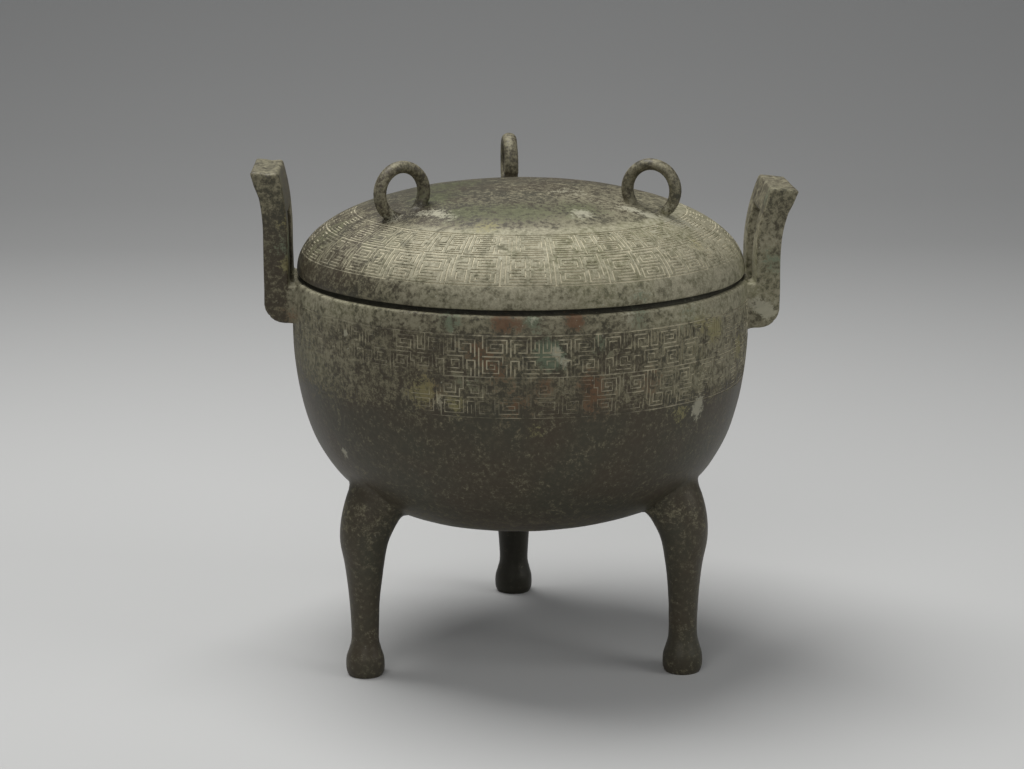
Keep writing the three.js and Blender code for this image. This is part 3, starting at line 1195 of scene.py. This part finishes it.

# %% [markdown]
# ## Bronze
# The colour is laid as the layers came. First the brown metal with broad clouds, then the
# grey-green crust where the weather value asks for it, broken up by noise of several sizes, then
# the stains, with painted shade of the seam and the rear leg among them in the dark layer, and
# last the pale earth left in the lines. The crust is dull and the bare metal has a soft shine, so
# roughness follows the same masks.


# %% Shader tools
class Layers:
    """Short ways to add nodes to one material."""

    def __init__(self, name):
        self.material = bpy.data.materials.new(name)
        self.material.use_nodes = True
        self.tree = self.material.node_tree
        self.surface = self.tree.nodes["Principled BSDF"]
        self.place = self.tree.nodes.new("ShaderNodeTexCoord").outputs["Object"]

    def link(self, source, socket):
        """Feeds a socket from an output, or sets it to a plain value."""
        if isinstance(source, (int, float, tuple)):
            socket.default_value = source
        else:
            self.tree.links.new(source, socket)

    def kept(self, name):
        """A value kept on the mesh."""
        node = self.tree.nodes.new("ShaderNodeAttribute")
        node.attribute_name = name
        return node.outputs["Fac"]

    def cloud(self, size, detail=4.0, roughness=0.55, distortion=0.0):
        """Noise with features of about this many millimetres."""
        node = self.tree.nodes.new("ShaderNodeTexNoise")
        self.link(self.place, node.inputs["Vector"])
        node.inputs["Scale"].default_value = 1 / (size * MM)
        node.inputs["Detail"].default_value = detail
        node.inputs["Roughness"].default_value = roughness
        node.inputs["Distortion"].default_value = distortion
        return node.outputs["Fac"]

    def step(self, value, low, high, bottom=0.0, top=1.0):
        """Goes smoothly from bottom to top while the value goes from low to high."""
        node = self.tree.nodes.new("ShaderNodeMapRange")
        node.interpolation_type = "SMOOTHSTEP"
        self.link(value, node.inputs["Value"])
        node.inputs["From Min"].default_value = low
        node.inputs["From Max"].default_value = high
        node.inputs["To Min"].default_value = bottom
        node.inputs["To Max"].default_value = top
        return node.outputs["Result"]

    def combine(self, kind, first, second, clamp=False):
        """A sum or product of two values."""
        node = self.tree.nodes.new("ShaderNodeMath")
        node.operation = kind
        node.use_clamp = clamp
        self.link(first, node.inputs[0])
        self.link(second, node.inputs[1])
        return node.outputs["Value"]

    def part(self, value, share):
        """A share of a value."""
        return self.combine("MULTIPLY", value, share)

    def times(self, first, second):
        """The product of two values, kept between 0 and 1."""
        return self.combine("MULTIPLY", first, second, True)

    def plus(self, first, second):
        """The sum of two values."""
        return self.combine("ADD", first, second)

    def blend(self, share, first, second):
        """Colour from first to second."""
        node = self.tree.nodes.new("ShaderNodeMix")
        node.data_type = "RGBA"
        self.link(share, node.inputs["Factor"])
        self.link(first, node.inputs["A"])
        self.link(second, node.inputs["B"])
        return node.outputs["Result"]


def tone(red, green, blue):
    """An opaque colour."""
    return (red, green, blue, 1.0)


# %% Bronze
def bronze_patina():
    """The one material of both castings, laid in order from the bare metal to the specks."""
    bronze = Layers("bronze_patina")
    weather = bronze.kept("weather")
    broad = bronze.cloud(38, 3, 0.5)
    middle = bronze.cloud(7, 8, 0.68, 0.4)
    small = bronze.cloud(2.4, 4, 0.65)
    grain = bronze.cloud(0.8, 2, 0.6)
    # Bare metal, brown to olive.
    brown, olive_brown = tone(0.054, 0.043, 0.028), tone(0.049, 0.046, 0.031)
    bare = bronze.blend(bronze.step(broad, 0.35, 0.65), brown, olive_brown)
    bare = bronze.blend(bronze.step(small, 0.40, 0.75), bare, tone(0.070, 0.062, 0.040))
    # Crust: green below, grey and beige over it, browner where it is thin.
    mottle = bronze.step(middle, 0.34, 0.66)
    fleck = bronze.step(small, 0.34, 0.66)
    speck = bronze.step(grain, 0.30, 0.70)
    crust = bronze.blend(mottle, tone(0.120, 0.114, 0.066), tone(0.285, 0.262, 0.182))
    olive = bronze.step(broad, 0.42, 0.62, 0.0, 0.55)
    crust = bronze.blend(olive, crust, tone(0.150, 0.148, 0.070))
    crust = bronze.blend(bronze.times(fleck, 0.7), crust, tone(0.39, 0.365, 0.260))
    crust = bronze.blend(bronze.part(speck, 0.35), crust, tone(0.075, 0.066, 0.040))
    thin = bronze.blend(mottle, tone(0.068, 0.057, 0.032), tone(0.125, 0.112, 0.068))
    thin = bronze.blend(bronze.times(fleck, speck), thin, tone(0.21, 0.19, 0.125))
    crust = bronze.blend(bronze.step(weather, 0.30, 0.80), thin, crust)
    ragged = bronze.plus(bronze.part(mottle, 0.32), bronze.part(fleck, 0.40))
    ragged = bronze.plus(ragged, bronze.part(speck, 0.28))
    cover = bronze.step(bronze.plus(ragged, weather), 0.62, 1.18)
    colour = bronze.blend(bronze.times(cover, 0.95), bare, crust)
    # Stains, and painted shade in the dark layer.
    for kind, stain, weight in (
        # The dark layer is partly one stain on the lid's edge and partly painted shade of the seam
        # and the rear leg.
        ("dark", tone(0.024, 0.023, 0.016), 0.85),
        ("moss", tone(0.070, 0.078, 0.034), 0.7),
        ("red", tone(0.110, 0.052, 0.025), 0.8),
        ("green", tone(0.110, 0.145, 0.095), 0.7),
        ("ochre", tone(0.210, 0.190, 0.085), 0.7),
        ("pale", tone(0.33, 0.315, 0.235), 0.75),
    ):
        share = bronze.step(bronze.plus(bronze.kept(kind), ragged), 0.85, 1.30, 0.0, weight)
        colour = bronze.blend(share, colour, stain)
    # Earth in the lines.
    groove = bronze.kept("groove")
    earth = bronze.times(bronze.step(groove, 0.1, 0.8), bronze.step(middle, 0.36, 0.56, 0.2, 1.0))
    colour = bronze.blend(bronze.times(earth, 0.9), colour, tone(0.46, 0.42, 0.30))
    # Specks.
    specks = bronze.step(bronze.cloud(1.5, 2, 0.5), 0.70, 0.78)
    specks = bronze.times(specks, bronze.step(weather, 0.0, 0.8, 0.25, 0.8))
    colour = bronze.blend(specks, colour, tone(0.34, 0.34, 0.27))
    bronze.link(colour, bronze.surface.inputs["Base Color"])
    bronze.surface.inputs["Metallic"].default_value = 0.2
    bronze.surface.inputs["Specular IOR Level"].default_value = 0.3
    bronze.link(bronze.step(cover, 0.0, 1.0, 0.46, 0.66), bronze.surface.inputs["Roughness"])
    relief = bronze.plus(bronze.part(small, 0.7), bronze.part(grain, 0.3))
    bump = bronze.tree.nodes.new("ShaderNodeBump")
    bump.inputs["Strength"].default_value = 0.5
    bump.inputs["Distance"].default_value = 0.35 * MM
    bronze.link(relief, bump.inputs["Height"])
    bronze.link(bump.outputs["Normal"], bronze.surface.inputs["Normal"])
    return bronze.material


bronze = bronze_patina()
print("bronze:", len(bronze.node_tree.nodes), "nodes")

# %% [markdown]
# ## The two castings
# Each skin is scaled to metres and becomes one piece of the part, in the place of the plain
# solid of the same casting. Its faces are shaded smooth, but for the crisper edges.

# %% The two pieces
# Edges that turn more than this many degrees stay crisp.
CREASE_ANGLE = 38


def finished(name, bm, node):
    """Scales a skin to metres, makes it a piece of the frame and gives it its bronze."""
    bmesh.ops.recalc_face_normals(bm, faces=bm.faces)
    for face in bm.faces:
        face.smooth = True
    for edge in bm.edges:
        edge.smooth = edge.calc_face_angle(0) < math.radians(CREASE_ANGLE)
    piece = as_object(name, bm, MM)
    piece.data.materials.append(bronze)
    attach(piece, "root")
    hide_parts(node)
    triangles = sum(len(p.vertices) - 2 for p in piece.data.polygons)
    print(name, triangles, "triangles")
    return piece


vessel_piece = finished("vessel_bronze", vessel_skin, "vessel")
lid_piece = finished("lid_bronze", lid_skin, "lid")

# %% [markdown]
# ## Size
# The pieces are measured together and the box round them is printed.


# %% Size
def piece_box(pieces):
    """The box round the pieces' corners, in metres."""
    points = [v.co for piece in pieces for v in piece.data.vertices]
    low = [min(p[axis] for p in points) for axis in range(3)]
    high = [max(p[axis] for p in points) for axis in range(3)]
    return low, high


new_low, new_high = piece_box([vessel_piece, lid_piece])
print("built ", [round(v, 4) for v in [*new_low, *new_high]])
